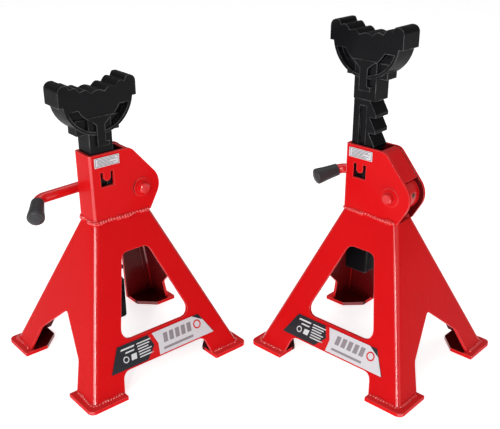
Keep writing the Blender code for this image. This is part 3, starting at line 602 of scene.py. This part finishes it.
def piece(name, mesh, stand, material, body):
    """New visible piece in a stand's frame, riding on a body."""
    item = bpy.data.objects.new(f"{stand}_{name}", mesh)
    bpy.context.collection.objects.link(item)
    mesh.transform(stand_matrix(stand))
    mesh.materials.append(material)
    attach(item, body)
    return item


def dense(points, spacing):
    """The same path with points at an even spacing."""
    path = [Vector(points[0])]
    for start, end in zip(points, points[1:]):
        start = Vector(start)
        end = Vector(end)
        count = max(1, round((end - start).length / spacing))
        path += [start.lerp(end, i / count) for i in range(1, count + 1)]
    return path


def mesh_from(bm, name):
    """Turn a bmesh into a mesh whose faces point out."""
    bmesh.ops.recalc_face_normals(bm, faces=bm.faces)
    mesh = bpy.data.meshes.new(name)
    bm.to_mesh(mesh)
    bm.free()
    return mesh


def bead_mesh(points, radius, ripple, seed):
    """Weld bead: a rounded ridge along a path, rippled along its length and slightly uneven."""
    path = dense(points, ripple / 4)
    sides = 10
    bm = bmesh.new()
    rings = []
    side = Vector((0, 0, 1))
    run = 0.0
    for index, point in enumerate(path):
        ahead = path[min(index + 1, len(path) - 1)]
        behind = path[max(index - 1, 0)]
        along = (ahead - behind).normalized()
        side = (side - along * side.dot(along)).normalized()
        other = along.cross(side)
        run += (point - behind).length
        wave = abs(math.sin(math.pi * run / ripple))
        uneven = noise.noise(point * 160 + Vector((seed, 0, 0)))
        size = radius * (0.5 + 0.5 * wave + 0.6 * uneven)
        if index in (0, len(path) - 1):
            size *= 0.45
        wander = (side + other) * noise.noise(point * 90 + Vector((0, seed, 0))) * radius * 0.45
        angles = [2 * math.pi * k / sides for k in range(sides)]
        ring = [point + wander + (side * math.cos(a) + other * math.sin(a)) * size for a in angles]
        rings.append([bm.verts.new(p) for p in ring])
    bm.faces.new(rings[0])
    bm.faces.new(rings[-1])
    for lower, upper in zip(rings, rings[1:]):
        for k in range(sides):
            j = (k + 1) % sides
            bm.faces.new((lower[k], lower[j], upper[j], upper[k]))
    mesh = mesh_from(bm, "bead")
    shade(mesh, 60)
    return mesh


def corner_arc(centre, radius, start, end, height, steps=5):
    """Points round a corner in the floor plane, at a height; angles in degrees."""
    angles = [math.radians(start + (end - start) * i / steps) for i in range(steps + 1)]
    return [(centre[0] + radius * math.cos(a), centre[1] + radius * math.sin(a), height) for a in angles]


def solid_between(name, pairs):
    """Closed mesh between each pair of matching outlines."""
    bm = bmesh.new()
    for pair in pairs:
        near, far = [[bm.verts.new(point) for point in outline] for outline in pair]
        bm.faces.new(near)
        bm.faces.new(far)
        for i in range(len(near)):
            j = (i + 1) % len(near)
            bm.faces.new((near[i], near[j], far[j], far[i]))
    return mesh_from(bm, name)


def rib_mesh(middle, side, top):
    """Central rib below the saddle's face: wide above, then narrow down to a foot that turns aside."""
    out = math.copysign(1, side)
    outline = [
        (-14 * MM, -33 * MM), (14 * MM, -33 * MM), (9 * MM, -37 * MM), (RIB_HALF, -41 * MM),
        (RIB_HALF, -57 * MM), (RIB_HALF + RIB_FOOT, -58 * MM), (RIB_HALF + RIB_FOOT, -62 * MM),
        (-RIB_HALF, -62 * MM), (-RIB_HALF, -41 * MM), (-9 * MM, -37 * MM),
    ]
    depths = (side - out * RIB_SUNK, side + out * RIB_PROUD)
    return solid_between("rib", [[[(middle + x, depth, top + z) for x, z in outline] for depth in depths]])


# ------------------------------------------------------------------ print on the labels

class Face:
    """A flat label's front, with x along it and u from its lower edge (0) to its upper edge (1)."""

    def __init__(self, stand, node):
        points = local_points(stand, node)
        self.low, self.high = local_box(stand, node)
        middle = (self.low.z + self.high.z) / 2
        self.lower = min((p for p in points if p.z < middle), key=lambda p: p.y)
        self.upper = min((p for p in points if p.z > middle), key=lambda p: p.y)
        slope = self.upper - self.lower
        self.normal = Vector((0, -slope.z, slope.y)).normalized()
        self.height = math.hypot(slope.y, slope.z)

    def point(self, x, u, lift):
        """Place on the face, lifted off it."""
        y = self.lower.y + (self.upper.y - self.lower.y) * u
        z = self.lower.z + (self.upper.z - self.lower.z) * u
        return Vector((x, y, z)) + self.normal * lift


def print_mesh(face, shapes, level=0):
    """Thin raised print: each shape is a list of (x, u) corners."""
    bottom = PRINT_THICKNESS * (level - PRINT_SUNK)
    lifts = (bottom, bottom + PRINT_THICKNESS)
    pairs = [[[face.point(x, u, lift) for x, u in shape] for lift in lifts] for shape in shapes]
    return solid_between("print", pairs)


def bar(x0, x1, u0, u1, lean=0.0):
    """Printed bar between two places, leaning by a share of its height."""
    return [(x0, u0), (x1, u0), (x1 + lean, u1), (x0 + lean, u1)]


def ring(x, u, radius, inner, height, steps=28):
    """Printed ring as two halves, round in the label's true sizes."""
    halves = []
    for start in (0, math.pi):
        angles = [start + math.pi * i / steps for i in range(steps + 1)]
        outer = [(x + radius * math.cos(a), u + radius / height * math.sin(a)) for a in angles]
        back = [(x + inner * math.cos(a), u + inner / height * math.sin(a)) for a in reversed(angles)]
        halves.append(outer + back)
    return halves


# ------------------------------------------------------------------ operators

class AXLESTAND_OT_red_steel(bpy.types.Operator):
    """Coat the folded bases, foot plates, housings and levers"""
    bl_idname = "axlestand.red_steel"
    bl_label = "Red Steel"

    def execute(self, context):
        paint = context.scene.axle_stand_paint
        edges = context.scene.axle_stand_edges
        for stand in STANDS:
            coat = powder_coat(paint, stand)
            for name in RED_NODES:
                dress(cad(stand, name), coat, edges.sheet_round)
            glossy = powder_coat(paint, stand, "Red Lever Coat", coat=0.3, sheet=False)
            for name in LEVER_NODES:
                dress(cad(stand, name), glossy, edges.sheet_round)
        return {"FINISHED"}


class AXLESTAND_OT_castings(bpy.types.Operator):
    """Finish the toothed columns with their saddles"""
    bl_idname = "axlestand.castings"
    bl_label = "Castings"

    def execute(self, context):
        enamel = cast_enamel(context.scene.axle_stand_paint)
        rounding = context.scene.axle_stand_edges.cast_round
        for stand in STANDS:
            dress(cad(stand, "ratchet_column"), enamel, rounding)
            low, high = local_box(stand, "ratchet_column")
            middle = (low.x + high.x) / 2
            for side, label in ((low.y, "front"), (high.y, "rear")):
                mesh = rib_mesh(middle, side, high.z)
                piece(f"saddle_rib_{label}", mesh, stand, enamel, f"{stand}_column")
        return {"FINISHED"}


class AXLESTAND_OT_grips(bpy.types.Operator):
    """Finish the grips on the levers and the cross pins in the pawls"""
    bl_idname = "axlestand.grips"
    bl_label = "Grips and Pins"

    def execute(self, context):
        paint = context.scene.axle_stand_paint
        rounding = context.scene.axle_stand_edges.small_round
        rubber = moulded_grip(paint)
        steel = pin_steel(paint)
        for stand in STANDS:
            dress(cad(stand, "handle_grip"), rubber, rounding, angle=35)
            dress(cad(stand, "pawl_pin"), steel, rounding, angle=35)
        return {"FINISHED"}


class AXLESTAND_OT_welds(bpy.types.Operator):
    """Lay the weld beads under the housings, round the legs and down the rear panels"""
    bl_idname = "axlestand.welds"
    bl_label = "Weld Beads"

    def housing_beads(self, stand, size):
        """Path round the foot of the housing: along the front, round the web and back along the rear."""
        shell_top = local_box(stand, "base_shell")[1].z
        top = shell_top + size * 0.3
        front = local_box(stand, "housing_cover")[0].y - COVER_TO_SIDE
        left = local_box(stand, "housing_channel")[0].x + size * 0.2
        right = max(p.x for p in local_points(stand, "base_shell") if p.z > shell_top - 0.5 * MM) - 2 * MM
        turn = HOUSING_TURN
        loop = [(right, front, top), (left + turn, front, top)]
        loop += corner_arc((left + turn, front + turn), turn, 270, 180, top)
        loop += corner_arc((left + turn, -front - turn), turn, 180, 90, top)
        loop += [(right, -front, top)]
        return [loop]

    def foot_beads(self, stand, size):
        """Paths round the outside of the four legs, each from one opening's edge to the next."""
        bottom = local_box(stand, "base_shell")[0].z
        height = bottom - 0.1 * MM
        rim = [p for p in local_points(stand, "base_shell") if p.z < bottom + SLICE]
        x_far = max(p.x for p in rim)
        y_far = max(p.y for p in rim)
        front_end = min(p.x for p in rim if p.x > 0 and p.y < 0.5 * MM - y_far)
        side_end = min(p.y for p in rim if p.y > 0 and p.x > x_far - 0.5 * MM)
        rear = [p for p in local_points(stand, "base_rear_panel") if p.z < bottom + SLICE]
        rear_end = min(p.x for p in rear if p.x > 0)
        paths = []
        for side_y, end in ((-1, front_end), (1, rear_end)):
            for side_x in (-1, 1):
                corner = corner_arc((x_far - LEG_TURN, y_far - LEG_TURN), LEG_TURN, 90, 0, height)
                path = [(end + size, y_far, height)] + corner + [(x_far, side_end + size, height)]
                paths.append([(x * side_x, y * side_y, z) for x, y, z in path])
        return paths

    def panel_beads(self, stand):
        """Paths down both seams of the rear panel."""
        points = local_points(stand, "base_rear_panel")
        low, high = local_box(stand, "base_rear_panel")
        paths = []
        for side in (-1, 1):
            bottom = max((p for p in points if p.z < low.z + SLICE), key=lambda p: p.x * side + p.y)
            top = max((p for p in points if p.z > high.z - SLICE), key=lambda p: p.x * side + p.y)
            first = top + Vector((0, -BEAD_SINK, -BEAD_STOP))
            last = bottom + Vector((0, -BEAD_SINK, BEAD_STOP))
            paths.append([first, last])
        return paths

    def execute(self, context):
        welds = context.scene.axle_stand_welds
        paint = context.scene.axle_stand_paint
        for number, stand in enumerate(STANDS):
            coat = powder_coat(paint, stand, "Coated Weld", coat=0.45, depth=0.4, sheet=False)
            sets = (
                ("housing_weld", self.housing_beads(stand, welds.seam_bead), welds.seam_bead),
                ("foot_weld", self.foot_beads(stand, welds.foot_bead), welds.foot_bead),
                ("rear_weld", self.panel_beads(stand), welds.panel_bead),
            )
            for name, paths, radius in sets:
                for index, path in enumerate(paths):
                    mesh = bead_mesh(path, radius, welds.ripple, 7.0 * number + index)
                    piece(f"{name}_{index + 1}", mesh, stand, coat, "frames")
        return {"FINISHED"}


class AXLESTAND_OT_labels(bpy.types.Operator):
    """Finish the label films and lay plain printed bars and marks on them"""
    bl_idname = "axlestand.labels"
    bl_label = "Labels"

    def base_print(self, stand, films):
        """Fields, stripe, bars and rings on the label of the base."""
        face = Face(stand, "base_label")
        slant = face.high.x
        top = slant - LABEL_LEAN
        silver = [
            (-6 * MM, 0.0), (slant - 0.4 * MM, 0.0), (top - 0.2 * MM, 1.0), (-8.6 * MM, 1.0),
            (-4.4 * MM, 0.5),
        ]
        stripe = [
            (-20 * MM, 0.0), (-6 * MM, 0.0), (-4.4 * MM, 0.5), (-8.6 * MM, 1.0), (-13.4 * MM, 1.0),
            (-9 * MM, 0.5),
        ]
        corner = [(top - 8 * MM, 1.0), (top + 3.4 * MM, 0.7), (top - 0.2 * MM, 1.0)]
        pale = [bar(-46 * MM, -31 * MM, 0.78, 0.85, 1 * MM), bar(-42 * MM, -32 * MM, 0.62, 0.68, 1 * MM)]
        pale += ring(-42.5 * MM, 0.38, 3.2 * MM, 2.2 * MM, face.height)
        pale += [bar(-37 * MM, -31 * MM, 0.26, 0.5, 1 * MM)]
        for row, length in enumerate((16, 14, 12, 15, 13, 16)):
            u = 0.80 - 0.115 * row
            pale.append(bar(-28 * MM, (length - 28) * MM, u, u + 0.05, 0.6 * MM))
        grey = []
        for index in range(5):
            x = (2 + 7.2 * index) * MM
            grey.append(bar(x, x + 5 * MM, 0.42, 0.82, 1.2 * MM))
        grey += [bar(0, 36 * MM, 0.14, 0.24, 0.5 * MM)]
        dot = ring(44 * MM, 0.60, 4.6 * MM, 3.2 * MM, face.height)
        for name, shapes, film, level in (
                ("label_silver_field", [silver], "silver", 0), ("label_stripe", [stripe], "red", 0),
                ("label_pale_print", pale, "pale", 0), ("label_grey_print", grey, "grey", 1),
                ("label_corner", [corner], "dark", 1),
                ("label_mark", dot, "red", 1)):
            mesh = print_mesh(face, shapes, level)
            piece(name, mesh, stand, films[film], "frames")

    def plate_print(self, stand, films):
        """Frame and rows of bars on the housing's data plate."""
        face = Face(stand, "housing_label")
        left = face.low.x
        right = face.high.x
        edge = 1 * MM
        lines = [
            bar(left + edge, right - edge, 0.90, 0.94), bar(left + edge, right - edge, 0.06, 0.10),
            bar(left + edge, left + 1.4 * MM, 0.10, 0.90), bar(right - 1.4 * MM, right - edge, 0.10, 0.90),
        ]
        for row, (start, end) in enumerate(((3, 22), (3, 24), (3, 17), (3, 23), (3, 20))):
            u = 0.74 - 0.14 * row
            lines.append(bar(left + start * MM, left + end * MM, u, u + 0.05))
        mesh = print_mesh(face, lines)
        piece("plate_print", mesh, stand, films["dark"], "frames")

    def execute(self, context):
        paint = context.scene.axle_stand_paint
        films = {
            "silver": printed_film("Silver Film", tuple(paint.label_silver), 0.32),
            "dark": printed_film("Dark Film", tuple(paint.label_dark), 0.34),
            "red": printed_film("Red Film", tuple(paint.red), 0.3),
            "pale": printed_film("Pale Ink", (0.72, 0.73, 0.74), 0.4),
            "grey": printed_film("Grey Ink", (0.30, 0.27, 0.29), 0.4),
        }
        for stand in STANDS:
            dress(cad(stand, "base_label"), films["dark"], 0)
            dress(cad(stand, "housing_label"), films["silver"], 0)
            self.base_print(stand, films)
            self.plate_print(stand, films)
        return {"FINISHED"}


class AXLESTAND_OT_studio(bpy.types.Operator):
    """Set up the pale floor, the soft lights and the camera"""
    bl_idname = "axlestand.studio"
    bl_label = "Studio"

    def floor(self, studio):
        """Wide pale floor that glows a little, so that its far parts stay white."""
        mesh = bpy.data.meshes.new("studio_floor")
        corners = [(x * FLOOR_HALF, y * FLOOR_HALF, 0) for x, y in ((-1, -1), (1, -1), (1, 1), (-1, 1))]
        mesh.from_pydata(corners, [], [(0, 1, 2, 3)])
        item = bpy.data.objects.new("studio_floor", mesh)
        bpy.context.collection.objects.link(item)
        finish = Finish("Studio Floor", Roughness=0.85, Specular_IOR_Level=0.1)
        finish.shader.inputs["Base Color"].default_value = (*studio.floor_colour, 1)
        finish.shader.inputs["Emission Color"].default_value = (1, 1, 1, 1)
        finish.shader.inputs["Emission Strength"].default_value = FLOOR_GLOW
        mesh.materials.append(finish.material)

    def light(self, name, place, target, size, power):
        """Rectangular light at a place, turned to a target."""
        data = bpy.data.lights.new(name, "AREA")
        data.shape = "RECTANGLE"
        data.size, data.size_y = size
        data.energy = power
        item = bpy.data.objects.new(name, data)
        item.location = place
        item.rotation_euler = (Vector(target) - Vector(place)).to_track_quat("-Z", "Y").to_euler()
        bpy.context.collection.objects.link(item)

    def sky(self, studio):
        """Even white light from everywhere."""
        world = bpy.data.worlds.new("Studio Sky")
        world.use_nodes = True
        background = world.node_tree.nodes["Background"]
        background.inputs["Color"].default_value = (1, 1, 1, 1)
        background.inputs["Strength"].default_value = studio.sky_strength
        bpy.context.scene.world = world
        bpy.context.scene.view_settings.view_transform = "Standard"

    def camera(self, studio):
        """Camera in front of the pair, looking down at it."""
        data = bpy.data.cameras.new("Studio Camera")
        data.lens = studio.camera_lens
        data.sensor_width = 36
        data.shift_x = -0.0037
        data.clip_start = 0.01
        item = bpy.data.objects.new("Studio Camera", data)
        item.location = studio.camera_place
        item.rotation_euler = (math.pi / 2 - studio.camera_pitch, 0, 0)
        bpy.context.collection.objects.link(item)
        bpy.context.scene.camera = item

    def execute(self, context):
        studio = context.scene.axle_stand_studio
        self.floor(studio)
        self.sky(studio)
        middle = (0, 0, 0.15)
        self.light("Key", (-0.9, -1.5, 0.95), middle, (0.7, 0.9), studio.key_power)
        self.light("Front", (-0.3, -1.88, 0.75), middle, (0.18, 1.1), studio.front_power)
        self.light("Fill", (1.0, -1.3, 0.7), middle, (0.4, 0.9), studio.fill_power)
        self.light("Top", (0.0, 0.35, 1.5), middle, (1.4, 1.0), studio.top_power)
        self.camera(studio)
        return {"FINISHED"}


class AXLESTAND_PT_sidebar(bpy.types.Panel):
    """Lists every step and its settings"""
    bl_label = "Axle Stands"
    bl_idname = "AXLESTAND_PT_sidebar"
    bl_space_type = "VIEW_3D"
    bl_region_type = "UI"
    bl_category = "Axle Stands"

    def draw(self, context):
        layout = self.layout
        for operator in OPERATORS:
            layout.operator(operator.bl_idname)
        for name in SETTINGS:
            box = layout.box()
            settings = getattr(context.scene, name)
            for label in settings.__annotations__:
                box.prop(settings, label)


OPERATORS = (
    AXLESTAND_OT_red_steel, AXLESTAND_OT_castings, AXLESTAND_OT_grips, AXLESTAND_OT_welds,
    AXLESTAND_OT_labels, AXLESTAND_OT_studio,
)
SETTINGS = {
    "axle_stand_paint": AxleStandPaint,
    "axle_stand_edges": AxleStandEdges,
    "axle_stand_welds": AxleStandWelds,
    "axle_stand_studio": AxleStandStudio,
}


def register():
    """Add the settings, the steps and the panel."""
    for item in (*SETTINGS.values(), *OPERATORS, AXLESTAND_PT_sidebar):
        bpy.utils.register_class(item)
    for name, settings in SETTINGS.items():
        setattr(bpy.types.Scene, name, bpy.props.PointerProperty(type=settings))


def unregister():
    """Take away what register added."""
    for name in SETTINGS:
        delattr(bpy.types.Scene, name)
    for item in (AXLESTAND_PT_sidebar, *OPERATORS, *SETTINGS.values()):
        bpy.utils.unregister_class(item)


def main():
    """Build every step in order."""
    register()
    bpy.ops.axlestand.red_steel()
    bpy.ops.axlestand.castings()
    bpy.ops.axlestand.grips()
    bpy.ops.axlestand.welds()
    bpy.ops.axlestand.labels()
    bpy.ops.axlestand.studio()


if __name__ == "__main__":
    main()
